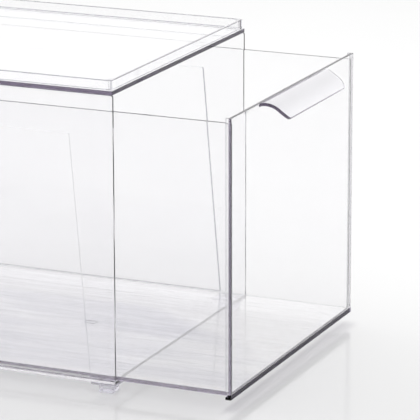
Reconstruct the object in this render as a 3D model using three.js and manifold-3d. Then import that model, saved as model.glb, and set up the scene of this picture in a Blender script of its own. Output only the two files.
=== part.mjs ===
// Stackable clear shoe box: an open-fronted casing on four stepped feet, with a pull-out drawer.
// Millimetres, +Z up. The drawer pulls out towards -Y. The feet stand on z = 0, and the origin
// is the middle of the floor area that the box covers with its drawer drawn out to restPull.
import * as THREE from 'three';
import { mergeVertices } from 'three/addons/utils/BufferGeometryUtils.js';
import Module from 'manifold-3d';

const wasm = await Module();
wasm.setup();

// ---- Casing ----
const caseWidth = 210;
const caseDepth = 296;
const caseHeight = 199; // from the underside of the floor slab to the top of the stacking rim
const caseWall = 2; // side walls and back wall
const caseFloor = 1.8; // floor slab, whose edges show under the walls
const caseTop = 2.7; // top slab, whose edges show above the walls
const cornerRadius = 1; // corners of each panel
const ease = 0.3; // small chamfer along every panel edge
const seam = 0.3; // joint line between two bonded panels

// ---- Stacking rim, a ring on the top slab ----
const rimHeight = 6.6; // above the top slab
const rimWall = 2;
const rimInset = 0.8; // from the edges of the top slab
const rimOuterRadius = 2;
const rimInnerRadius = 6;

// ---- Shallow fields sunk into the outside of the side walls and the underside of the floor ----
const fieldDepth = 0.5;
const fieldHeight = 161.1; // above the bottom edge of the wall
const fieldMarginTop = 30; // from the front and back edges of the wall, along the field's top
const fieldMarginBottom = 17; // the same along the wall's bottom edge
const floorFieldEnd = 11; // from the front and back edges of the floor
const floorFieldSide = 28; // from the casing's outer sides

// ---- Feet ----
const padSize = 17.5;
const padThick = 1.3;
const blockDepth = 5.7; // how far the block drops below the pad, into the rim of the box below
const blockSize = 10.3;
const nestGap = 0.4; // between the block and the inside of the rim below

// ---- Drawer ----
const drawerWall = 2;
const drawerFloor = 2.2;
const frontSheet = 2.2; // the front panel's sheet
const flangeDepth = 1.8; // flange behind the sheet's sides and bottom, round the ends of the tray
const flangeWidth = 1.8;
const sideGap = 1.3; // each side, between the drawer and the casing walls
const slideGap = 0.3; // between the drawer floor and the casing floor
const drawerHeadroom = 11; // from the drawer's side walls up to the top slab
const frontHeadroom = 7.5; // from the top of the front panel up to the top slab
const frontSideMargin = 1.2; // how far the front panel stops short of the casing's outer sides
const stopGap = 0.3; // between the front panel and the casing when the drawer is shut
const backGap = 2.7; // behind the shut drawer
const restPull = 76; // how far the drawer is drawn out at rest

// ---- Pull lip ----
const lipReach = 16.5;
const lipThick = 2.2;
const lipStartAngle = THREE.MathUtils.degToRad(12); // below the horizontal, at the panel
const lipEndAngle = THREE.MathUtils.degToRad(54); // below the horizontal, at the outer edge
const lipHalfWidth = 51;
const lipRootFillet = 9; // sweeps the lip's ends into the panel's top edge
const lipCornerRadius = 6;

// ---- Places worked out from the sizes ----
const caseBottom = blockDepth + padThick + seam;
const rimTop = caseBottom + caseHeight;
const topSlabTop = rimTop - rimHeight;
const topSlabUnder = topSlabTop - caseTop;
const floorSlabTop = caseBottom + caseFloor;
const wallBottom = floorSlabTop + seam;
const wallTop = topSlabUnder - seam;
const innerHalfWidth = caseWidth / 2 - caseWall;
const innerDepth = caseDepth - caseWall;
const drawerHalfWidth = innerHalfWidth - sideGap;
const drawerBottom = floorSlabTop + slideGap;
const drawerSideTop = topSlabUnder - drawerHeadroom;
const frontTop = topSlabUnder - frontHeadroom;
const frontHalfWidth = caseWidth / 2 - frontSideMargin;
const frontBackFace = -stopGap; // of the shut drawer, at the flange
const sheetBackFace = frontBackFace - flangeDepth;
const frontFace = sheetBackFace - frontSheet;
const trayFront = sheetBackFace + seam;
const drawerRear = innerDepth - backGap; // of the shut drawer
const lipTip = frontFace - lipReach;
const centreY = (caseDepth + lipTip - restPull) / 2;

const clear = (color, roughness) => new THREE.MeshStandardMaterial({ color, roughness, metalness: 0 });
const caseMaterial = () => clear(0xe4e5ec, 0.08);
const footMaterial = () => clear(0xcfd0da, 0.15);
const drawerMaterial = () => clear(0xdcdce8, 0.08);

// ---- Shared shapes ----
const alongX = new THREE.Matrix4().makeBasis(
  new THREE.Vector3(0, 1, 0), new THREE.Vector3(0, 0, 1), new THREE.Vector3(1, 0, 0));
const alongY = new THREE.Matrix4().makeBasis(
  new THREE.Vector3(0, 0, 1), new THREE.Vector3(1, 0, 0), new THREE.Vector3(0, 1, 0));

/** Draws a rectangle with round corners into a shape or a hole's path. */
function roundedOutline(outline, u0, u1, v0, v1, radius) {
  const r = Math.min(radius, (u1 - u0) / 3, (v1 - v0) / 3);
  outline.moveTo(u0 + r, v0);
  outline.lineTo(u1 - r, v0);
  outline.absarc(u1 - r, v0 + r, r, -Math.PI / 2, 0);
  outline.lineTo(u1, v1 - r);
  outline.absarc(u1 - r, v1 - r, r, 0, Math.PI / 2);
  outline.lineTo(u0 + r, v1);
  outline.absarc(u0 + r, v1 - r, r, Math.PI / 2, Math.PI);
  outline.lineTo(u0, v0 + r);
  outline.absarc(u0 + r, v0 + r, r, Math.PI, 1.5 * Math.PI);
  return outline;
}

/** A plate with round corners and eased edges, lying in the u and v directions on height 0. */
function plate(u0, u1, v0, v1, thick) {
  const outline = roundedOutline(new THREE.Shape(), u0, u1, v0, v1, cornerRadius);
  const geometry = new THREE.ExtrudeGeometry(outline, {
    depth: thick - 2 * ease, curveSegments: 3, bevelEnabled: true,
    bevelSegments: 1, bevelSize: ease, bevelOffset: -ease, bevelThickness: ease,
  });
  return geometry.translate(0, 0, ease);
}

/** A plate lying flat, between two heights. */
function flatPlate(x0, x1, y0, y1, z0, z1) {
  return plate(x0, x1, y0, y1, z1 - z0).translate(0, 0, z0);
}

/** A plate standing across the box, between two depths. */
function crossPlate(x0, x1, z0, z1, y0, y1) {
  return plate(z0, z1, x0, x1, y1 - y0).applyMatrix4(alongY).translate(0, y0, 0);
}

/** A plate standing along the box, between two x places. */
function sidePlate(y0, y1, z0, z1, x0, x1) {
  return plate(y0, y1, z0, z1, x1 - x0).applyMatrix4(alongX).translate(x0, 0, 0);
}

/** Closed three.js geometry to a manifold solid. */
function toSolid(geometry) {
  const bare = geometry.clone();
  bare.deleteAttribute('normal');
  bare.deleteAttribute('uv');
  const merged = mergeVertices(bare, 1e-4);
  return new wasm.Manifold(new wasm.Mesh({
    numProp: 3,
    vertProperties: new Float32Array(merged.attributes.position.array),
    triVerts: new Uint32Array(merged.index.array),
  }));
}

/** Manifold solid back to a three.js geometry. */
function toGeometry(solid) {
  const mesh = solid.getMesh();
  const geometry = new THREE.BufferGeometry();
  geometry.setAttribute('position', new THREE.BufferAttribute(new Float32Array(mesh.vertProperties), 3));
  geometry.setIndex(new THREE.BufferAttribute(new Uint32Array(mesh.triVerts), 1));
  geometry.computeVertexNormals();
  return geometry;
}

function box(x0, x1, y0, y1, z0, z1) {
  const geometry = new THREE.BoxGeometry(x1 - x0, y1 - y0, z1 - z0);
  return geometry.translate((x0 + x1) / 2, (y0 + y1) / 2, (z0 + z1) / 2);
}

function named(name, geometry, material) {
  const mesh = new THREE.Mesh(geometry, material);
  mesh.name = name;
  return mesh;
}

// ---- Casing pieces ----

/** Side wall between the two slabs; side is -1 for left and 1 for right. */
function sideWall(side) {
  const outer = side * caseWidth / 2;
  const inner = side * innerHalfWidth;
  const wall = sidePlate(0, caseDepth, wallBottom, wallTop, Math.min(outer, inner), Math.max(outer, inner));
  const top = wallBottom + fieldHeight;
  const field = new THREE.Shape([
    new THREE.Vector2(fieldMarginBottom, wallBottom - cornerRadius),
    new THREE.Vector2(caseDepth - fieldMarginBottom, wallBottom - cornerRadius),
    new THREE.Vector2(caseDepth - fieldMarginTop, top),
    new THREE.Vector2(fieldMarginTop, top),
  ]);
  const cutter = new THREE.ExtrudeGeometry(field, { depth: 2 * fieldDepth, bevelEnabled: false });
  cutter.applyMatrix4(alongX).translate(outer - fieldDepth, 0, 0);
  return toGeometry(toSolid(wall).subtract(toSolid(cutter)));
}

function backWall() {
  const half = innerHalfWidth - seam;
  return crossPlate(-half, half, wallBottom, wallTop, innerDepth, caseDepth);
}

/** Floor slab; the field under it leaves a sill from foot to foot along the front and the back. */
function floorSlab() {
  const slab = flatPlate(-caseWidth / 2, caseWidth / 2, 0, caseDepth, caseBottom, floorSlabTop);
  const fieldHalf = caseWidth / 2 - floorFieldSide;
  const cutter = box(-fieldHalf, fieldHalf, floorFieldEnd, caseDepth - floorFieldEnd,
    caseBottom - fieldDepth, caseBottom + fieldDepth);
  return toGeometry(toSolid(slab).subtract(toSolid(cutter)));
}

function topSlab() {
  return flatPlate(-caseWidth / 2, caseWidth / 2, 0, caseDepth, topSlabUnder, topSlabTop);
}

/** Ring on the top slab, with round corners inside and out. */
function stackingRim() {
  const outerHalf = caseWidth / 2 - rimInset;
  const innerHalf = outerHalf - rimWall;
  const ring = roundedOutline(new THREE.Shape(), -outerHalf, outerHalf, rimInset, caseDepth - rimInset,
    rimOuterRadius);
  ring.holes.push(roundedOutline(new THREE.Path(), -innerHalf, innerHalf, rimInset + rimWall,
    caseDepth - rimInset - rimWall, rimInnerRadius));
  const height = rimHeight - seam;
  const geometry = new THREE.ExtrudeGeometry(ring, {
    depth: height - 2 * ease, curveSegments: 6, bevelEnabled: true,
    bevelSegments: 1, bevelSize: ease, bevelOffset: -ease, bevelThickness: ease,
  });
  return geometry.translate(0, 0, topSlabTop + seam + ease);
}

/** Stepped foot: a pad that rests on the rim of the box below, and a block that drops inside it. */
function foot(side, atBack) {
  const blockInset = rimInset + rimWall + nestGap;
  const padTop = caseBottom - seam;
  const padBottom = padTop - padThick;
  const pad = box(0, padSize, 0, padSize, padBottom, padTop);
  const block = box(blockInset, blockInset + blockSize, blockInset, blockInset + blockSize, 0, padTop);
  const solid = toSolid(pad).add(toSolid(block));
  const turn = new THREE.Matrix4().makeRotationZ(
    atBack ? (side < 0 ? -Math.PI / 2 : Math.PI) : (side < 0 ? 0 : Math.PI / 2));
  const corner = new THREE.Matrix4().makeTranslation(side * caseWidth / 2, atBack ? caseDepth : 0, 0);
  return toGeometry(solid).applyMatrix4(turn).applyMatrix4(corner);
}

// ---- Drawer pieces, placed as if the drawer were shut ----

function drawerSide(side) {
  const outer = side * drawerHalfWidth;
  const inner = side * (drawerHalfWidth - drawerWall);
  return sidePlate(trayFront, drawerRear, drawerBottom, drawerSideTop,
    Math.min(outer, inner), Math.max(outer, inner));
}

function drawerBack() {
  const half = drawerHalfWidth - drawerWall - seam;
  return crossPlate(-half, half, drawerBottom, drawerSideTop, drawerRear - drawerWall, drawerRear);
}

function drawerFloorPanel() {
  const half = drawerHalfWidth - drawerWall - seam;
  return flatPlate(-half, half, trayFront, drawerRear - drawerWall - seam,
    drawerBottom, drawerBottom + drawerFloor);
}

/** Front panel: a sheet with a flange behind its sides and its bottom. */
function frontPanel() {
  const panel = crossPlate(-frontHalfWidth, frontHalfWidth, caseBottom, frontTop, frontFace, frontBackFace);
  const pocketHalf = frontHalfWidth - flangeWidth;
  const pocket = box(-pocketHalf, pocketHalf, sheetBackFace, sheetBackFace + 2 * flangeDepth,
    caseBottom + flangeWidth, frontTop + flangeWidth);
  return toGeometry(toSolid(panel).subtract(toSolid(pocket)));
}

/** Curved sheet of the lip in section, turned through an arc, cut to its plan outline. */
function pullLip() {
  const radius = lipReach / (Math.sin(lipEndAngle) - Math.sin(lipStartAngle));
  const innerRadius = radius - lipThick;
  const corner = Math.min(lipCornerRadius, lipReach - lipRootFillet - seam);
  const centreDepth = -radius * Math.sin(lipStartAngle);
  const centreHeight = frontTop - radius * Math.cos(lipStartAngle);
  const steps = 8;
  const section = [];
  for (let i = 0; i <= steps; i += 1) {
    const a = lipStartAngle + (lipEndAngle - lipStartAngle) * i / steps;
    section.push(new THREE.Vector2(centreDepth + radius * Math.sin(a), centreHeight + radius * Math.cos(a)));
  }
  for (let i = steps; i >= 0; i -= 1) {
    const a = lipStartAngle + (lipEndAngle - lipStartAngle) * i / steps;
    section.push(new THREE.Vector2(centreDepth + innerRadius * Math.sin(a),
      centreHeight + innerRadius * Math.cos(a)));
  }
  const rootHalfWidth = lipHalfWidth + lipRootFillet;
  const sheet = new THREE.ExtrudeGeometry(new THREE.Shape(section), {
    depth: 2 * rootHalfWidth, bevelEnabled: false,
  });
  sheet.applyMatrix4(alongX).translate(-rootHalfWidth, 0, 0);

  // Plan outline, x across and depth outwards from the panel: swept root, straight sides, round corners.
  const plan = new THREE.Shape();
  plan.moveTo(-rootHalfWidth, seam);
  plan.lineTo(rootHalfWidth, seam);
  plan.absarc(rootHalfWidth, lipRootFillet + seam, lipRootFillet, -Math.PI / 2, -Math.PI, true);
  plan.lineTo(lipHalfWidth, lipReach - corner);
  plan.absarc(lipHalfWidth - corner, lipReach - corner, corner, 0, Math.PI / 2);
  plan.lineTo(-lipHalfWidth + corner, lipReach);
  plan.absarc(-lipHalfWidth + corner, lipReach - corner, corner, Math.PI / 2, Math.PI);
  plan.lineTo(-lipHalfWidth, lipRootFillet + seam);
  plan.absarc(-rootHalfWidth, lipRootFillet + seam, lipRootFillet, 0, -Math.PI / 2, true);
  const column = new THREE.ExtrudeGeometry(plan, {
    depth: 2 * radius, curveSegments: 6, bevelEnabled: false,
  });
  column.translate(0, 0, frontTop - radius);
  const lip = toGeometry(toSolid(sheet).intersect(toSolid(column)));
  const facing = new THREE.Matrix4().makeRotationZ(Math.PI);
  return lip.applyMatrix4(facing).translate(0, frontFace, 0);
}

// ---- Assembly ----
const casing = new THREE.Group();
casing.add(named('casing_left_wall', sideWall(-1), caseMaterial()));
casing.add(named('casing_right_wall', sideWall(1), caseMaterial()));
casing.add(named('casing_back_wall', backWall(), caseMaterial()));
casing.add(named('casing_floor_slab', floorSlab(), caseMaterial()));
casing.add(named('casing_top_slab', topSlab(), caseMaterial()));
casing.add(named('stacking_rim', stackingRim(), caseMaterial()));
casing.add(named('front_left_foot', foot(-1, false), footMaterial()));
casing.add(named('front_right_foot', foot(1, false), footMaterial()));
casing.add(named('rear_left_foot', foot(-1, true), footMaterial()));
casing.add(named('rear_right_foot', foot(1, true), footMaterial()));

const drawer = new THREE.Group();
drawer.add(named('drawer_front_panel', frontPanel(), drawerMaterial()));
drawer.add(named('drawer_pull_lip', pullLip(), drawerMaterial()));
drawer.add(named('drawer_left_side', drawerSide(-1), drawerMaterial()));
drawer.add(named('drawer_right_side', drawerSide(1), drawerMaterial()));
drawer.add(named('drawer_back_wall', drawerBack(), drawerMaterial()));
drawer.add(named('drawer_floor', drawerFloorPanel(), drawerMaterial()));
drawer.position.y = -restPull;

const shoeBox = new THREE.Group();
shoeBox.add(casing, drawer);
shoeBox.position.y = -centreY;

export default shoeBox;
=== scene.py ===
import math
from functools import partial

import bpy
import numpy as np
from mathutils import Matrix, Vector


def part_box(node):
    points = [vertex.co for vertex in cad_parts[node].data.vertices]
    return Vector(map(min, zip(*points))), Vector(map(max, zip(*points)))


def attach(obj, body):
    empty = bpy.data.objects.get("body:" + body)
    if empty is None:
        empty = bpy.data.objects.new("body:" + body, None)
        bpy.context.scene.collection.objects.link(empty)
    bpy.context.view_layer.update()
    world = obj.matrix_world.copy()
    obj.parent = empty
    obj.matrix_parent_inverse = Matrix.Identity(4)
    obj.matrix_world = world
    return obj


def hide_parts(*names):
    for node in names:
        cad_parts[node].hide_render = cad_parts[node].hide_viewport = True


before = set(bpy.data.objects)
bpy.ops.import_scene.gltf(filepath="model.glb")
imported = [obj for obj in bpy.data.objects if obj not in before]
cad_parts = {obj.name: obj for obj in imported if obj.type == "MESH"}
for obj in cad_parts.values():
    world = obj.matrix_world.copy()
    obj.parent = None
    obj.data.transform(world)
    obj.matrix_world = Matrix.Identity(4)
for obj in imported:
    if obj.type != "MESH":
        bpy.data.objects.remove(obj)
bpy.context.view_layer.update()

# ==== Casing side walls ===============================================================================
# Two clear injection-moulded walls, bonded between the floor slab and the top slab. Each has a shallow
# field sunk into its outside, narrower at the top, which leaves a flat border along the edges.
WALL_CORNER = 0.001
WALL_FILLET = 0.00028
FIELD_DEPTH = 0.0005
FIELD_TOP = 0.1611  # above the wall's bottom edge
FIELD_FOOT = 0.0009  # border left along the wall's bottom edge
FIELD_MARGIN_TOP = 0.030
FIELD_MARGIN_BOTTOM = 0.017
FIELD_CORNER = 0.0015
FIELD_STEP = 0.0011  # width of the soft step round the field
FIELD_RINGS = 8  # rings over the step
FIELD_LINE = {"left": 0.5, "right": 1.8}  # strength of the painted grey shade on each wall's step, heavier on the right wall, away from the camera
LEVEL_LINE = 0.25  # how much of that shows along the level edges of the field
CORNER_STEPS = 6
FILLET_STEPS = 5
CLOUD_SCALE = 9.0  # broad noise in the plastic
FINE_SCALE = 60.0
RELIEF = 0.001  # height that the bump stands for at full strength
FINE_RELIEF = 0.25  # how much the fine noise adds to it, against the broad one
LINE_ROUGHNESS = 0.2  # how much rougher the grey lines are
# Grey painted into the plastic's colour as shade along edges and field steps
EDGE_SHADE_GREY = (0.25, 0.25, 0.29, 1.0)
BODY_VIOLET = (0.62, 0.58, 0.66, 1.0)  # what a long path through the plastic turns light to


class Socket:
    """A node's output. Arithmetic on it adds Math nodes, and node() adds any other node to its tree."""

    def __init__(self, tree, output=None):
        self.tree = tree
        self.output = output

    def node(self, kind, settings=None, inputs=None, output=0):
        """Adds a node, sets its settings, then its sockets, and returns one of its outputs."""
        made = self.tree.nodes.new(kind)
        for name, value in (settings or {}).items():
            setattr(made, name, value)
        for name, value in (inputs or {}).items():
            if isinstance(value, Socket):
                self.tree.links.new(value.output, made.inputs[name])
            else:
                made.inputs[name].default_value = value
        return Socket(self.tree, made.outputs[output] if made.outputs else None)

    def maths(self, operation, first, second):
        return self.node("ShaderNodeMath", {"operation": operation}, {0: first, 1: second})

    def __add__(self, other):
        return self.maths("ADD", self, other)

    __radd__ = __add__

    def __sub__(self, other):
        return self.maths("SUBTRACT", self, other)

    def __rsub__(self, other):
        return self.maths("SUBTRACT", other, self)

    def __mul__(self, other):
        return self.maths("MULTIPLY", self, other)

    __rmul__ = __mul__


def clear_plastic(name, tint, streak_tint, density, roughness=0.01, ripple=0.02, grain=(1.0, 1.0, 1.0),
                  patch=None, index=1.49):
    """Clear moulded plastic. Noise moves the colour from tint to streak_tint and shifts the polish and the
    surface a little. grain squeezes the noise along each axis, so that it runs the way the melt ran. The
    body darkens with the length of the path through it, faster with density. A point attribute paints grey
    shade into the colour along a mesh's edges and along the steps of its sunk fields, standing in for the
    dark bands that bent light draws there. patch, where given, works out from the place and the noise how
    much of streak_tint shows. Lamps shine straight through."""
    material = bpy.data.materials.new(name)
    material.use_nodes = True
    tree = material.node_tree
    tree.nodes.clear()
    make = Socket(tree)
    place = make.node("ShaderNodeTexCoord", output="Object")
    run = make.node("ShaderNodeMapping", inputs={"Vector": place, "Scale": grain})
    cloud = make.node("ShaderNodeTexNoise", inputs={"Vector": run, "Scale": CLOUD_SCALE, "Detail": 3.0})
    fine = make.node("ShaderNodeTexNoise", inputs={"Vector": run, "Scale": FINE_SCALE, "Detail": 4.0})
    streak = cloud if patch is None else patch(make, place, cloud, fine)
    colour = make.node("ShaderNodeMix", {"data_type": "RGBA"},
                       {"Factor": streak, 6: (*tint, 1.0), 7: (*streak_tint, 1.0)}, output=2)
    # Painted shade: this point attribute greys the colour along edges and field steps, where bent light draws
    # dark bands.
    edge_shade = make.node("ShaderNodeAttribute", {"attribute_name": "edge_shade"}, output="Fac")
    colour = make.node("ShaderNodeMix", {"data_type": "RGBA"},
                       {"Factor": edge_shade, 6: colour, 7: EDGE_SHADE_GREY}, output=2)
    relief = make.node("ShaderNodeBump", inputs={"Height": cloud + fine * FINE_RELIEF, "Strength": ripple,
                                                 "Distance": RELIEF})
    polish = fine * roughness + cloud * roughness + edge_shade * LINE_ROUGHNESS
    glass = make.node("ShaderNodeBsdfPrincipled", inputs={"Base Color": colour, "Roughness": polish,
                                                          "Normal": relief, "Transmission Weight": 1.0,
                                                          "IOR": index})
    clear = make.node("ShaderNodeBsdfTransparent")
    shadow = make.node("ShaderNodeLightPath", output="Is Shadow Ray")
    surface = make.node("ShaderNodeMixShader", inputs={0: shadow, 1: glass, 2: clear})
    body = make.node("ShaderNodeVolumeAbsorption", inputs={"Color": BODY_VIOLET, "Density": density})
    make.node("ShaderNodeOutputMaterial", inputs={"Surface": surface, "Volume": body})
    return material


def corner_turns(steps=CORNER_STEPS):
    """Four quarter turns, one for each corner of a rectangle. Returns which way from the middle the corner
    lies, and the outward directions, the cosine and sine of the angle turned through."""
    angle = (np.arange(4)[:, None] * np.pi / 2 + np.linspace(0, np.pi / 2, steps + 1)[None, :]).ravel()
    side = np.repeat([[1, 1], [-1, 1], [-1, -1], [1, -1]], steps + 1, axis=0)
    return side, np.stack([np.cos(angle), np.sin(angle)], axis=1)


def round_rectangle(width, height, radius, steps=CORNER_STEPS):
    """Outline of a rectangle about the origin: four quarter circles about centres set in by the radius.
    Returns those centres and the outward directions, so that a point is centre + distance * direction."""
    side, out = corner_turns(steps)
    return side * [width / 2 - radius, height / 2 - radius], out


def at_heights(plan, height):
    """Gives each ring of a plan one height, or each ring of flat directions one upward share."""
    return np.concatenate([plan, np.broadcast_to(height[:, None, None], plan.shape[:2] + (1,))], axis=-1)


def edge_profile(thickness, fillet, steps=FILLET_STEPS):
    """Edge of a slab from its underside to its top: a quarter circle, a straight stretch, a quarter circle.
    Returns how far each point is set in, its height, and its outward and upward direction."""
    angle = np.linspace(0, np.pi / 2, steps + 1)
    angle = np.concatenate([angle, angle + np.pi / 2])
    out, up = np.sin(angle), -np.cos(angle)
    height = np.where(up < -1e-9, fillet * (1 + up), thickness - fillet * (1 - up))
    height[steps] = fillet
    return fillet * (1 - out), height, out, up


def lofted(name, rings, normals, material, closed=False):
    """Closed solid through a row of closed rings, joined by quads. The first and last ring are filled by one
    flat face each, or joined to each other when the row itself is closed. The faces are turned round if the
    volume, the sum of the products of each face's corners, comes out negative."""
    rows, count = rings.shape[:2]
    index = np.arange(rows * count).reshape(rows, count)
    if closed:
        index = np.concatenate([index, index[:1]])
    near = index[:-1]
    far = index[1:]
    quads = np.stack([near, np.roll(near, -1, 1), np.roll(far, -1, 1), far], axis=-1).reshape(-1, 4)
    faces = quads.tolist()
    directions = normals.reshape(-1, 3)[quads.ravel()]
    points = rings.reshape(-1, 3)
    corner = points[quads]
    volume = np.einsum("ij,ij->i", corner[:, 0], np.cross(corner[:, 1], corner[:, 2])).sum()
    volume += np.einsum("ij,ij->i", corner[:, 0], np.cross(corner[:, 2], corner[:, 3])).sum()
    if not closed:
        for ring in (index[0][::-1], index[-1]):
            faces.append(ring.tolist())
            across = points[ring] - points[ring].mean(0)
            flat = np.cross(across, np.roll(across, -1, 0)).sum(0)
            flat /= np.linalg.norm(flat)
            directions = np.concatenate([directions, np.repeat(flat[None], count, 0)])
            fan = points[ring]
            volume += np.einsum("ij,ij->i", np.repeat(fan[:1], count - 2, 0),
                                np.cross(fan[1:-1], fan[2:])).sum()
    mesh = bpy.data.meshes.new(name)
    if volume < 0:
        faces = [face[::-1] for face in faces]
        sizes = [len(face) for face in faces]
        starts = np.concatenate([[0], np.cumsum(sizes)[:-1]])
        order = np.concatenate([start + np.arange(size)[::-1] for start, size in zip(starts, sizes)])
        directions = directions[order]
        if not closed:
            directions[-2 * count:] *= -1
    mesh.from_pydata(points.tolist(), [], faces)
    mesh.polygons.foreach_set("use_smooth", np.ones(len(faces), bool))
    mesh.normals_split_custom_set(directions.tolist())
    mesh.materials.append(material)
    piece = bpy.data.objects.new(name, mesh)
    bpy.context.scene.collection.objects.link(piece)
    return piece


THIN_X, THIN_Y, THIN_Z = 1, -1, 0  # which way a slab's thickness runs


def laid(local, thin, middle):
    """Turns points or directions given as across, along and through a slab into x, y and z."""
    return np.roll(local, thin, axis=-1) + middle


def slab_rings(low, high, thin, corner, fillet):
    """Rings of a slab between two corners of a box, its thickness along one axis, plan corners rounded by
    the corner radius and all its edges by the fillet."""
    size = np.roll(np.array(high) - np.array(low), -thin)
    centre, out = round_rectangle(size[0], size[1], corner)
    inset, height, outward, up = edge_profile(size[2], fillet)
    plan = centre[None] + (corner - inset)[:, None, None] * out[None]
    return at_heights(plan, height - size[2] / 2), at_heights(outward[:, None, None] * out[None], up)


def rounding_line(steps=FILLET_STEPS):
    """Strength of the painted grey shade along one rounded edge: 1.6 times half a sine wave, cut off at 1."""
    return np.minimum(1.6 * np.sin(np.pi * np.linspace(0, 1, steps + 1)), 1)


def marked(piece, edge_shade):
    """Stores on a piece, point by point, how strong the painted grey edge shade is there."""
    line = piece.data.attributes.new("edge_shade", "FLOAT", "POINT")
    line.data.foreach_set("value", np.ascontiguousarray(edge_shade, dtype=np.float32).ravel())
    return piece


def slab(name, node, thin, material, fillet=WALL_FILLET, finish=None, turned=False, edge_line=0.0):
    """Slab in a CAD node's place. finish adds rings that shape its upper face, in the slab's own directions,
    and says how strong the painted grey shade is there. turned puts that face underneath."""
    low, high = (np.array(corner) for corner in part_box(node))
    rings, normals = slab_rings(low, high, thin, WALL_CORNER, fillet)
    # Painted grey shade along the slab's rounded edges.
    edge_shade = np.repeat(edge_line * np.tile(rounding_line(), 2)[:, None], rings.shape[1], axis=1)
    if finish is not None:
        more, more_normals, line = finish(rings[-1], np.roll(high - low, -thin))
        rings = np.concatenate([rings, more])
        normals = np.concatenate([normals, more_normals])
        edge_shade = np.concatenate([edge_shade, np.broadcast_to(line, more.shape[:2])])
    if turned:
        rings = rings * [1, 1, -1]
        normals = normals * [1, 1, -1]
    middle = (low + high) / 2
    return marked(lofted(name, laid(rings, thin, middle), laid(normals, thin, 0), material), edge_shade)


def field_step(centre, radius, out, thickness):
    """Rings round a sunk field, from centre plus radius times outward direction. They close in by the step's
    width as they sink along a smooth S, 3 t squared less 2 t cubed. Returns them, their normals, and the
    strength of the painted grey shade on each, half a sine wave."""
    step = np.linspace(0, 1, FIELD_RINGS)
    drop = FIELD_DEPTH * (3 * step ** 2 - 2 * step ** 3)
    slope = FIELD_DEPTH / FIELD_STEP * 6 * step * (1 - step)
    plan = centre[None] + (radius - FIELD_STEP * step)[:, None, None] * out[None]
    tilt = at_heights(-slope[:, None, None] * out[None], np.ones(FIELD_RINGS))
    tilt /= np.linalg.norm(tilt, axis=-1, keepdims=True)
    return at_heights(plan, thickness / 2 - drop), tilt, np.sin(np.pi * step)[:, None]


def wall_field(line, rim, size):
    """A side wall's field: a trapezoid with eased corners, from which the step goes down. Its outline has as
    many points as the wall's own rim, a corner to a corner. The painted grey shade on the step is strongest
    up its sides."""
    half_long, half_tall = size[0] / 2, size[1] / 2
    top = -half_tall + FIELD_TOP
    bottom = -half_tall + FIELD_FOOT
    upper = half_long - FIELD_MARGIN_TOP
    lower = half_long - FIELD_MARGIN_BOTTOM
    corners = np.array([[upper, top], [-upper, top], [-lower, bottom], [lower, bottom]])
    which = np.repeat(np.arange(4), len(rim) // 4)
    centre = corners[which] - FIELD_CORNER * np.sign(corners)[which]
    out = corner_turns()[1]
    rings, tilt, wave = field_step(centre, FIELD_CORNER, out, size[2])
    upright = LEVEL_LINE + (1 - LEVEL_LINE) * np.abs(out[:, 0])
    return rings, tilt, np.minimum(line * wave * upright[None], 1)


casing_plastic = clear_plastic("casing plastic", tint=(1.0, 1.0, 1.0), streak_tint=(0.985, 0.985, 0.99),
                               density=18.0)

# Each wall's step carries painted grey shade, heavier on the right wall.
for side_name, inner_side_up in (("left", True), ("right", False)):
    wall = slab(f"{side_name}_side_wall", f"casing_{side_name}_wall", THIN_X, casing_plastic,
                finish=partial(wall_field, FIELD_LINE[side_name]), turned=inner_side_up)
    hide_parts(f"casing_{side_name}_wall")
    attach(wall, "casing")

# ==== Casing back wall, floor slab and top slab =======================================================
# Flat clear slabs that close the casing. The floor and the top run out over the walls to the corners, so
# their edges show as two bands round the box. They are bonded to the walls along a thin seam.
back_wall = slab("back_wall", "casing_back_wall", THIN_Y, casing_plastic)
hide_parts("casing_back_wall")
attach(back_wall, "casing")

UNDERSIDE_END = 0.011  # left along the front and back of the field under the floor
UNDERSIDE_BORDER = 0.028  # left along its sides, where the feet are
UNDERSIDE_CORNER = 0.003
# strength of the painted grey shade on the step of the field under the floor
UNDERSIDE_LINE = 0.25
FLOOR_SLAB_FILLET = 0.00015
# strength of the painted grey shade along the top slab's rounded edges
TOP_SLAB_LINE = 0.6


def underside_field(rim, size):
    """The same kind of sunk field, a round rectangle, under the floor slab between the feet."""
    centre, out = round_rectangle(size[0] - 2 * UNDERSIDE_BORDER, size[1] - 2 * UNDERSIDE_END,
                                  UNDERSIDE_CORNER)
    rings, tilt, wave = field_step(centre, UNDERSIDE_CORNER, out, size[2])
    return rings, tilt, UNDERSIDE_LINE * wave


floor_slab_plastic = clear_plastic("floor slab plastic", tint=(0.995, 0.995, 1.0),
                                   streak_tint=(0.95, 0.95, 0.965), density=2.0, roughness=0.03,
                                   ripple=0.1, grain=(3.0, 0.4, 1.0))
floor_slab = slab("floor_slab", "casing_floor_slab", THIN_Z, floor_slab_plastic, FLOOR_SLAB_FILLET,
                  finish=underside_field, turned=True)
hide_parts("casing_floor_slab")
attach(floor_slab, "casing")

top_slab_plastic = clear_plastic("slab plastic", tint=(0.998, 0.998, 1.0), streak_tint=(0.975, 0.975, 0.985),
                                 density=20.0)
top_slab = slab("top_slab", "casing_top_slab", THIN_Z, top_slab_plastic, edge_line=TOP_SLAB_LINE)
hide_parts("casing_top_slab")
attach(top_slab, "casing")

# ==== Stacking rim ====================================================================================
# A clear ring standing on the top slab. It keeps the box above from sliding off: that box's pads rest on
# the ring, and its foot blocks drop inside it.
RIM_WALL = 0.002
RIM_OUTER_RADIUS = 0.002
RIM_INNER_RADIUS = 0.006
RIM_CORNER_STEPS = 10
RIM_FILLET = 0.00045
RIM_CORNER_LINE = 0.9  # strength of the painted grey shade up each outer corner
RIM_CORNER_FADE = 4  # how fast that painted shade fades to either side


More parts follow.
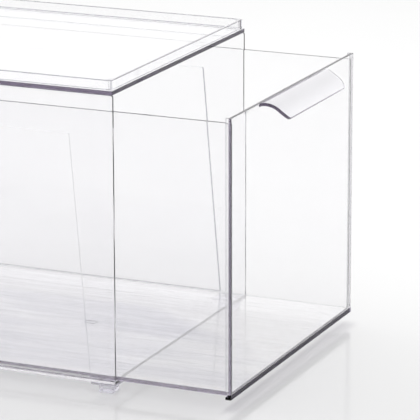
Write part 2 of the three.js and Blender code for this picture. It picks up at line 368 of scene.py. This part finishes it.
def rim_ring(name, node, material):
    """Ring with a rounded rectangular section, carried round its outline. The section's outer points lie at
    outer corner centre plus reach times outward direction, the inner ones at inner corner centre plus reach
    times the same direction."""
    low, high = (np.array(corner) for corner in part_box(node))
    size = high - low
    outer_centre, out = round_rectangle(size[0], size[1], RIM_OUTER_RADIUS, RIM_CORNER_STEPS)
    inner_centre, _ = round_rectangle(size[0] - 2 * RIM_WALL, size[1] - 2 * RIM_WALL, RIM_INNER_RADIUS,
                                      RIM_CORNER_STEPS)
    section_centre, section_out = round_rectangle(RIM_WALL, size[2], RIM_FILLET, FILLET_STEPS)
    section = section_centre + RIM_FILLET * section_out
    outside = section[:, 0] > 0
    middle_radius = np.where(outside, RIM_OUTER_RADIUS - RIM_WALL / 2, RIM_INNER_RADIUS + RIM_WALL / 2)
    reach = middle_radius + section[:, 0]
    centre = np.where(outside[None, :, None], outer_centre[:, None, :], inner_centre[:, None, :])
    plan = centre + reach[None, :, None] * out[:, None, :]
    height = np.broadcast_to(section[None, :, 1:], plan.shape[:2] + (1,))
    rings = np.concatenate([plan, height], axis=-1) + (low + high) / 2
    across = section_out[None, :, :1] * out[:, None, :]
    upward = np.broadcast_to(section_out[None, :, 1:], plan.shape[:2] + (1,))
    ring = lofted(name, rings, np.concatenate([across, upward], axis=-1), material, closed=True)
    # Painted grey shade along the rounded edges and up the outer corners.
    corner_line = RIM_CORNER_LINE * np.abs(2 * out[:, 0] * out[:, 1]) ** RIM_CORNER_FADE
    return marked(ring, np.maximum(np.tile(rounding_line(), 4)[None], corner_line[:, None] * outside[None]))


rim = rim_ring("rim_ring", "stacking_rim", casing_plastic)
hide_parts("stacking_rim")
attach(rim, "casing")

# ==== Feet ============================================================================================
# Four stepped feet moulded in clear plastic and bonded under the corners of the floor slab: a thin square
# pad, and below it a smaller block that drops inside the rim of the box underneath.
PAD_THICK = 0.0013
BLOCK_SIZE = 0.0103
BLOCK_INSET = 0.0032
FOOT_CORNER = 0.0012
FOOT_FILLET = 0.0004
FOOT_LINE = 0.8  # strength of the painted grey shade along the foot's edges
LEDGE_START = 0.00002  # how far out from the block the ledge under the pad starts

foot_plastic = clear_plastic("foot plastic", tint=(0.96, 0.96, 0.985), streak_tint=(0.93, 0.93, 0.965),
                             density=30.0, roughness=0.05, ripple=0.08)


def stepped_foot(name, node, side, end):
    """Rings from the bottom of the block up to the pad's top: the block's round square, a ledge, the pad's
    own round square. A point is a corner's centre plus a distance times its outward direction."""
    low, high = (np.array(corner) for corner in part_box(node))
    pad_size = (high - low)[:2]
    block_height = high[2] - low[2] - PAD_THICK
    outer_corner = np.where([side > 0, end > 0], high[:2], low[:2])
    block_middle = outer_corner - np.array([side, end]) * (BLOCK_INSET + BLOCK_SIZE / 2)
    block_centre, out = round_rectangle(BLOCK_SIZE, BLOCK_SIZE, FOOT_CORNER)
    pad_centre, _ = round_rectangle(pad_size[0], pad_size[1], FOOT_CORNER)
    inset, height, outward, up = (part[:FILLET_STEPS + 1] for part in edge_profile(block_height, FOOT_FILLET))
    pad_inset, pad_height, pad_outward, pad_up = edge_profile(PAD_THICK, FOOT_FILLET)
    block = block_centre[None] + (FOOT_CORNER - inset)[:, None, None] * out[None] + block_middle
    ledge = block[-1:] + LEDGE_START * out[None]
    pad = pad_centre[None] + (FOOT_CORNER - pad_inset)[:, None, None] * out[None] + (low + high)[:2] / 2
    plan = np.concatenate([block, block[-1:], ledge, pad])
    z = np.concatenate([height, [block_height, block_height], block_height + pad_height]) + low[2]
    outward = np.concatenate([outward, [1.0, 0.0], pad_outward])
    up = np.concatenate([up, [0.0, -1.0], pad_up])
    foot = lofted(name, at_heights(plan, z), at_heights(outward[:, None, None] * out[None], up), foot_plastic)
    # Painted grey shade, strongest halfway round each rounded edge.
    line = FOOT_LINE * 2 * np.abs(outward * up)
    return marked(foot, np.repeat(line[:, None], plan.shape[1], axis=1))


for end_name, end in (("front", -1), ("rear", 1)):
    for side_name, side in (("left", -1), ("right", 1)):
        node = f"{end_name}_{side_name}_foot"
        foot = stepped_foot(f"foot_{end_name}_{side_name}", node, side, end)
        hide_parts(node)
        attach(foot, "casing")

# ==== Drawer tray =====================================================================================
# Floor, two sides and a back in thinner clear plastic, joined into an open tray. The melt entered at the
# middle of the floor, where a small round gate mark and faint flow streaks are left.
GATE_RADIUS = 0.005
GATE_LIP = 0.0004  # width of the raised edge round the mark
GATE_HEIGHT = 0.0003
GATE_RINGS = 9
TRAY_LINE = 0.6  # strength of the painted grey shade along the edges of the sides and the back
# Over much of the floor a darker grey-lilac patch is painted as shade, with the flow streaks running through
# it.
SHADE_FADE = 0.022  # how far the painted shade takes to build up
SHADE_RIGHT = 0.046  # how far short of the floor's right edge it stops
SHADE_SLANT = 0.67  # how fast it widens from the front of the floor
SHADE_FRONT = -0.02  # how far across it reaches at the front
SHADE_CLOUD, SHADE_FINE = 0.7, 0.4  # how much the broad and the fine noise add to its streaks
SHADE_THIN, SHADE_THICK = 0.42, 0.66  # noise at which a streak starts, and is full
SHADE_LEAST = 0.15  # painted shade left between the streaks

tray_plastic = clear_plastic("tray plastic", tint=(1.0, 1.0, 1.0), streak_tint=(0.985, 0.985, 0.99),
                             density=20.0)


def floor_streaks_and_shade(make, place, cloud, fine):
    """Darker grey-lilac streaks painted over the drawer floor as shade, with the flow streaks running through
    them: four smooth steps multiplied, from the left edge, the right edge, a slanting line near the front
    and the back edge, times the noise, which is drawn out across the floor."""
    low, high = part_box("drawer_floor")
    across = make.node("ShaderNodeSeparateXYZ", inputs={0: place}, output="X")
    along = make.node("ShaderNodeSeparateXYZ", inputs={0: place}, output="Y")
    slant = across - (along - low[1]) * SHADE_SLANT
    mask = 1.0
    for line, start, fade in ((across, low[0], SHADE_FADE), (across, high[0] - SHADE_RIGHT, -SHADE_FADE / 2),
                              (slant, SHADE_FRONT, -SHADE_FADE), (along, high[1], -SHADE_FADE)):
        mask = mask * make.node("ShaderNodeMapRange", {"interpolation_type": "SMOOTHSTEP"},
                                {"Value": line, "From Min": start, "From Max": start + fade})
    streaks = make.node("ShaderNodeMapRange",
                        inputs={"Value": cloud * SHADE_CLOUD + fine * SHADE_FINE, "From Min": SHADE_THIN,
                                "From Max": SHADE_THICK, "To Min": SHADE_LEAST, "To Max": 1.0})
    return mask * streaks


# streak_tint here is the painted shade's darker grey-lilac.
floor_plastic = clear_plastic("drawer floor plastic", tint=(1.0, 1.0, 1.0), streak_tint=(0.825, 0.825, 0.865),
                              density=16.0, roughness=0.1, ripple=0.25, grain=(3.0, 0.3, 1.0),
                              patch=floor_streaks_and_shade)


def gate_mark(rim, size):
    """Rings from the floor's edge to the gate mark: circles about the middle, over a small ridge whose
    height is the square of a sine, and a flat disc inside it."""
    angle = np.arctan2(rim[:, 1], rim[:, 0])
    around = np.stack([np.cos(angle), np.sin(angle)], axis=1)
    step = np.linspace(0, 1, GATE_RINGS)
    radius = GATE_RADIUS - 2 * GATE_LIP * step
    rise = GATE_HEIGHT * np.sin(np.pi * step) ** 2
    slope = GATE_HEIGHT * np.pi * np.sin(2 * np.pi * step) / (2 * GATE_LIP)
    tilt = at_heights(slope[:, None, None] * around[None], np.ones(GATE_RINGS))
    tilt /= np.linalg.norm(tilt, axis=-1, keepdims=True)
    rings = at_heights(radius[:, None, None] * around[None], size[2] / 2 + rise)
    # Painted grey shade over the ridge, half a sine wave.
    return rings, tilt, np.sin(np.pi * step)[:, None]


# Each piece: CAD node, thin axis, plastic, finish, and strength of the painted grey shade along its edges.
tray = {
    "tray_floor": ("drawer_floor", THIN_Z, floor_plastic, gate_mark, 0.0),
    "tray_left_side": ("drawer_left_side", THIN_X, tray_plastic, None, TRAY_LINE),
    "tray_right_side": ("drawer_right_side", THIN_X, tray_plastic, None, TRAY_LINE),
    "tray_back": ("drawer_back_wall", THIN_Y, tray_plastic, None, TRAY_LINE),
}
for name, (node, thin, plastic, finish, edge_line) in tray.items():
    panel = slab(name, node, thin, plastic, finish=finish, edge_line=edge_line)
    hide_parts(node)
    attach(panel, "drawer")

# ==== Drawer front ====================================================================================
# A clear sheet bonded across the front of the tray, with a flange behind each side that caps the tray's
# walls. It stands on a bar with a ledge along its back. The bar's plastic is tinted and made so dense that
# it shows as a dark violet band: painted shade along the bottom of the front.
SHEET_THICK = 0.0022
FLANGE_WIDTH = 0.0018
BAR_HEIGHT = 0.0033
FRONT_ROUND = 0.0006
BACK_ROUND = 0.0008  # on the left flange's back edge
POCKET_ROUND = 0.0003
END_ROUND = 0.00012
BOND = 0.00005  # left open between the sheet and the pieces bonded to it


def cornered_outline(corners, radii, steps=FILLET_STEPS):
    """Outline through square corners, each turned by an arc. An outside corner's points lie at its centre
    plus radius times outward direction, an inside corner's at its centre less that."""
    before = corners - np.roll(corners, 1, axis=0)
    before /= np.linalg.norm(before, axis=1, keepdims=True)
    after = np.roll(before, -1, axis=0)
    turn = before[:, 0] * after[:, 1] - before[:, 1] * after[:, 0]
    start = np.arctan2(-before[:, 0], before[:, 1])
    angle = start[:, None] + turn[:, None] * np.linspace(0, np.pi / 2, steps + 1)[None]
    out = np.stack([np.cos(angle), np.sin(angle)], axis=-1)
    centre = corners + radii[:, None] * (after - before)
    points = centre[:, None] + (turn * radii)[:, None, None] * out
    return points.reshape(-1, 2), out.reshape(-1, 2)


def carried_outline(name, corners, start, end, thin, material):
    """Solid whose outline is carried along a third axis from start to end, and set in along its outward
    directions at both ends to round them. A corner's row holds its place, its radius and how strong the
    painted grey shade along it is."""
    places, radii, lines = corners[:, :2], corners[:, 2], corners[:, 3]
    points, out = cornered_outline(places, radii)
    inset, height, outward, up = edge_profile(end - start, END_ROUND)
    plan = points[None] - inset[:, None, None] * out[None]
    piece = lofted(name, laid(at_heights(plan, start + height), thin, 0),
                   laid(at_heights(outward[:, None, None] * out[None], up), thin, 0), material)
    around = (lines[:, None] * rounding_line()[None]).ravel()
    return marked(piece, np.repeat(around[None], len(height), axis=0))


panel_low, panel_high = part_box("drawer_front_panel")
left, right = panel_low[0], panel_high[0]
face, flange_back = panel_low[1], panel_high[1]
sheet_back = face + SHEET_THICK
pocket = right - FLANGE_WIDTH
bar_bottom = panel_low[2]
bar_top = bar_bottom + BAR_HEIGHT
ledge_top = bar_bottom + FLANGE_WIDTH

front_plastic = clear_plastic("front plastic", tint=(0.998, 0.998, 1.0), streak_tint=(0.985, 0.985, 0.99),
                              density=13.0)
# Each row: x, y, corner radius, and strength of the painted grey shade along that corner.
sheet_corners = np.array([
    [left, face, FRONT_ROUND, 0.9], [right, face, FRONT_ROUND, 1.0], [right, flange_back, FRONT_ROUND, 1.0],
    [pocket, flange_back, POCKET_ROUND, 1.0], [pocket, sheet_back, POCKET_ROUND, 1.0],
    [-pocket, sheet_back, POCKET_ROUND, 0.3], [-pocket, flange_back, POCKET_ROUND, 0.5],
    [left, flange_back, BACK_ROUND, 1.0]])
front = carried_outline("front_panel", sheet_corners, bar_top + BOND, panel_high[2], THIN_Z, front_plastic)
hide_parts("drawer_front_panel")
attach(front, "drawer")

# Painted shade: tint, density and low index make the bar a dark violet band.
bar_shade_plastic = clear_plastic("bar painted shade plastic", tint=(0.85, 0.85, 0.9), streak_tint=(0.7, 0.7, 0.78),
                            density=1500.0, index=1.25)
bar_corners = np.array([
    [face, bar_bottom, POCKET_ROUND, 0.0], [flange_back, bar_bottom, POCKET_ROUND, 0.0],
    [flange_back, ledge_top, POCKET_ROUND, 0.0], [sheet_back, ledge_top, POCKET_ROUND, 0.0],
    [sheet_back, bar_top, POCKET_ROUND, 0.0], [face, bar_top, POCKET_ROUND, 0.0]])
bar = carried_outline("front_bottom_bar", bar_corners, left, right, THIN_X, bar_shade_plastic)
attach(bar, "drawer")

# ==== Pull lip ========================================================================================
# A curved tongue that grows out of the front panel's top edge and bends down, so that fingertips hook
# behind it. Its ends sweep into the panel with a wide fillet.
LIP_THICK = 0.0022
LIP_START = math.radians(12)  # below the horizontal, at the panel
LIP_END = math.radians(54)  # below the horizontal, at the outer edge
LIP_HALF_WIDTH = 0.051
LIP_ROOT_FILLET = 0.009
LIP_CORNER = 0.006
LIP_EDGE = 0.0008
LIP_RINGS = 33
LIP_TIP_RINGS = 6  # round the outer edge
LIP_THINNEST = 0.2  # of the edge's radius, left of the half thickness at the very tip
LIP_STEEPEST = 1.45  # angle at which the tip's normals stop leaning forward

lip_plastic = clear_plastic("lip plastic", tint=(0.99, 0.99, 1.0), streak_tint=(0.97, 0.97, 0.98),
                            density=45.0)


def pull_lip(name, node):
    """Sections across the lip, each a round rectangle as wide as the plan outline is there, carried along an
    arc that starts at the panel and turns down: y falls with the radius times the sine of the angle below
    the horizontal, and z with its cosine. The last sections shrink to round the outer edge."""
    low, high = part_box(node)
    root, top = face, panel_high[2]
    reach = root - low[1]
    radius = reach / (math.sin(LIP_END) - math.sin(LIP_START))
    round_off = np.linspace(0, np.pi / 2, LIP_TIP_RINGS + 1)[1:]
    straight = np.linspace(0, reach - LIP_EDGE, LIP_RINGS)
    depth = np.concatenate([straight, reach - LIP_EDGE + LIP_EDGE * np.sin(round_off)])
    shrink = np.concatenate([np.zeros(LIP_RINGS), LIP_EDGE * (1 - np.cos(round_off))])

    root_sweep = np.clip(LIP_ROOT_FILLET - depth, 0, None)
    swept = LIP_ROOT_FILLET - np.sqrt(np.clip(LIP_ROOT_FILLET ** 2 - root_sweep ** 2, 0, None))
    near_tip = np.clip(depth - (reach - LIP_CORNER), 0, LIP_CORNER)
    cut = LIP_CORNER - np.sqrt(np.clip(LIP_CORNER ** 2 - near_tip ** 2, 0, None))
    half = np.minimum(LIP_HALF_WIDTH + swept - cut, high[0])
    slope = np.gradient(half, depth)

    side, out = corner_turns(FILLET_STEPS)
    across = side[None, :, 0] * (half - shrink - LIP_EDGE)[:, None] + LIP_EDGE * out[None, :, 0]
    half_thick = np.clip(LIP_THICK / 2 - shrink, LIP_EDGE * LIP_THINNEST, None)
    edge = LIP_EDGE * half_thick / (LIP_THICK / 2)
    through = side[None, :, 1] * (half_thick - edge)[:, None] + edge[:, None] * out[None, :, 1]

    angle = np.arcsin(math.sin(LIP_START) + depth / radius)
    from_centre = radius - LIP_THICK / 2 + through
    y = root - (from_centre * np.sin(angle)[:, None] - radius * math.sin(LIP_START))
    z = top - radius * math.cos(LIP_START) + from_centre * np.cos(angle)[:, None]
    rings = np.stack([across, np.minimum(y, root - BOND), z], axis=-1)

    along = np.stack([np.zeros_like(angle), -np.cos(angle), -np.sin(angle)], axis=-1)
    outward = np.stack([np.zeros_like(angle), -np.sin(angle), np.cos(angle)], axis=-1)
    lean = -slope[:, None] * np.abs(out[None, :, 0])
    forward = np.concatenate([np.zeros(LIP_RINGS), np.tan(np.minimum(round_off, LIP_STEEPEST))])
    normals = out[None, :, :1] * np.array([1.0, 0, 0]) + out[None, :, 1:] * outward[:, None, :]
    normals = normals + (lean + forward[:, None])[..., None] * along[:, None, :]
    normals /= np.linalg.norm(normals, axis=-1, keepdims=True)
    return lofted(name, rings, normals, lip_plastic)


lip = pull_lip("pull_lip", "drawer_pull_lip")
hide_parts("drawer_pull_lip")
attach(lip, "drawer")

# ==== Studio ==========================================================================================
# A pale, slightly glossy floor, painted grey as shade just in front of the box and painted brighter nearer
# the camera, under a bright even horizon and a darker zenith, which draws the thin dark lines along the
# edges of the plastic, a soft lamp overhead, and the camera.
CAMERA_AZIMUTH = math.radians(-66.15)
CAMERA_ELEVATION = math.radians(15.2)
CAMERA_DISTANCE = 1.998
CAMERA_LENS = 259.8
CAMERA_SENSOR = 36.0
CAMERA_ROLL = math.radians(-0.1)
AIM_AHEAD = 0.0201  # in front of the casing's front edges
AIM_HEIGHT = 0.0993

casing_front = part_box("casing_left_wall")[0][1]
aim = Vector((0.0, casing_front - AIM_AHEAD, AIM_HEIGHT))
level = math.cos(CAMERA_ELEVATION)
towards_camera = Vector((math.sin(CAMERA_AZIMUTH) * level, -math.cos(CAMERA_AZIMUTH) * level,
                         math.sin(CAMERA_ELEVATION)))
beyond = -Vector((towards_camera.x, towards_camera.y, 0.0)).normalized()
camera = bpy.data.objects.new("camera", bpy.data.cameras.new("camera"))
camera.data.lens = CAMERA_LENS
camera.data.sensor_width = CAMERA_SENSOR
camera.location = aim + towards_camera * CAMERA_DISTANCE
camera.rotation_euler = towards_camera.to_track_quat("Z", "Y").to_euler()
camera.rotation_euler.rotate_axis("Z", CAMERA_ROLL)
bpy.context.scene.collection.objects.link(camera)
bpy.context.scene.camera = camera

FLOOR_REACH = 8.0
FLOOR_DROP = 0.0002  # how far below the feet the floor lies
FLOOR_GREY = (0.74, 0.74, 0.745, 1.0)  # painted shade just in front of the box
FLOOR_PALE = (0.885, 0.885, 0.885, 1.0)  # under it and beyond
FLOOR_BRIGHT = (0.97, 0.97, 0.97, 1.0)  # painted brighter floor nearer the camera
GREY_AT, PALE_AT = -0.35, 0.15  # distances along the floor, away from the camera
BRIGHT_STARTS, BRIGHT_AT = -0.36, -0.5
MOTTLE_SCALE = 3.0
MOTTLE_SHARE = 0.2  # how much of the paint's change from grey to pale is blotches
FLOOR_SHINE, FLOOR_SMEAR = 0.08, 0.1  # least roughness, and how much the blotches add to it

floor_material = bpy.data.materials.new("studio floor")
floor_material.use_nodes = True
floor_tree = floor_material.node_tree
floor_tree.nodes.clear()
make = Socket(floor_tree)
place = make.node("ShaderNodeTexCoord", output="Object")
mottle = make.node("ShaderNodeTexNoise", inputs={"Vector": place, "Scale": MOTTLE_SCALE, "Detail": 2.0})
depth = make.node("ShaderNodeVectorMath", {"operation": "DOT_PRODUCT"}, {0: place, 1: beyond}, output="Value")
pale = make.node("ShaderNodeMapRange", {"interpolation_type": "SMOOTHSTEP"},
                 {"Value": depth, "From Min": GREY_AT, "From Max": PALE_AT})
bright = make.node("ShaderNodeMapRange", {"interpolation_type": "SMOOTHSTEP"},
                   {"Value": depth, "From Min": BRIGHT_STARTS, "From Max": BRIGHT_AT})
paint = make.node("ShaderNodeMix", {"data_type": "RGBA"},
                  {"Factor": mottle * MOTTLE_SHARE + pale * (1 - MOTTLE_SHARE), 6: FLOOR_GREY,
                   7: FLOOR_PALE}, output=2)
paint = make.node("ShaderNodeMix", {"data_type": "RGBA"},
                  {"Factor": bright, 6: paint, 7: FLOOR_BRIGHT}, output=2)
sheen = make.node("ShaderNodeBsdfPrincipled",
                  inputs={"Base Color": paint, "Roughness": mottle * FLOOR_SMEAR + FLOOR_SHINE})
make.node("ShaderNodeOutputMaterial", inputs={"Surface": sheen})

floor_corners = FLOOR_REACH * np.array([[-1, -1, 0], [1, -1, 0], [1, 1, 0], [-1, 1, 0]]) - [0, 0, FLOOR_DROP]
floor_mesh = bpy.data.meshes.new("studio_floor")
floor_mesh.from_pydata(floor_corners.tolist(), [], [(0, 1, 2, 3)])
floor_mesh.materials.append(floor_material)
studio_floor = bpy.data.objects.new("studio_floor", floor_mesh)
bpy.context.scene.collection.objects.link(studio_floor)

SKY_TOP = 0.12  # how bright the sky is overhead, against 1 low down
SKY_BRIGHT_TO, SKY_DARK_FROM = 0.3, 0.6  # heights, as sines, between which it darkens
SKY_BEHIND = 1.1  # how bright the horizon is on the camera's side
SKY_BEYOND = 1.18  # how bright the horizon is beyond the box
BEHIND_TO, BEYOND_FROM = -0.4, 0.9  # shares of a direction that point away from the camera

world = bpy.data.worlds.new("studio")
bpy.context.scene.world = world
world.use_nodes = True
world.node_tree.nodes.clear()
make = Socket(world.node_tree)
facing = make.node("ShaderNodeTexCoord", output="Generated")
away = make.node("ShaderNodeVectorMath", {"operation": "DOT_PRODUCT"}, {0: facing, 1: beyond}, output="Value")
height = make.node("ShaderNodeSeparateXYZ", inputs={0: facing}, output="Z")
rise = make.node("ShaderNodeMapRange", {"interpolation_type": "SMOOTHSTEP"},
                 {"Value": height, "From Min": SKY_BRIGHT_TO, "From Max": SKY_DARK_FROM, "To Min": 1.0,
                  "To Max": SKY_TOP})
swing = make.node("ShaderNodeMapRange", {"interpolation_type": "SMOOTHSTEP"},
                  {"Value": away, "From Min": BEHIND_TO, "From Max": BEYOND_FROM, "To Min": SKY_BEHIND,
                   "To Max": SKY_BEYOND})
sky = make.node("ShaderNodeBackground", inputs={"Color": (1.0, 1.0, 1.0, 1.0), "Strength": rise * swing})
make.node("ShaderNodeOutputWorld", inputs={"Surface": sky})

LAMP_SIZE = 2.2
LAMP_POWER = 36.5
LAMP_HEIGHT = 1.7
LAMP_BEYOND = 0.3  # how far the lamp hangs past the box, away from the camera

lamp_data = bpy.data.lights.new("overhead", "AREA")
lamp_data.size = LAMP_SIZE
lamp_data.energy = LAMP_POWER
lamp = bpy.data.objects.new("overhead", lamp_data)
lamp.location = beyond * LAMP_BEYOND + Vector((0.0, 0.0, LAMP_HEIGHT))
bpy.context.scene.collection.objects.link(lamp)

BOUNCES = 48  # enough for light that runs the length of a slab from face to face
CLEAR_BOUNCES = 32

bpy.context.scene.view_settings.view_transform = "Standard"
cycles = bpy.context.scene.cycles
cycles.max_bounces = BOUNCES
cycles.transmission_bounces = BOUNCES
cycles.glossy_bounces = BOUNCES
cycles.transparent_max_bounces = CLEAR_BOUNCES
cycles.caustics_reflective = False
cycles.caustics_refractive = False
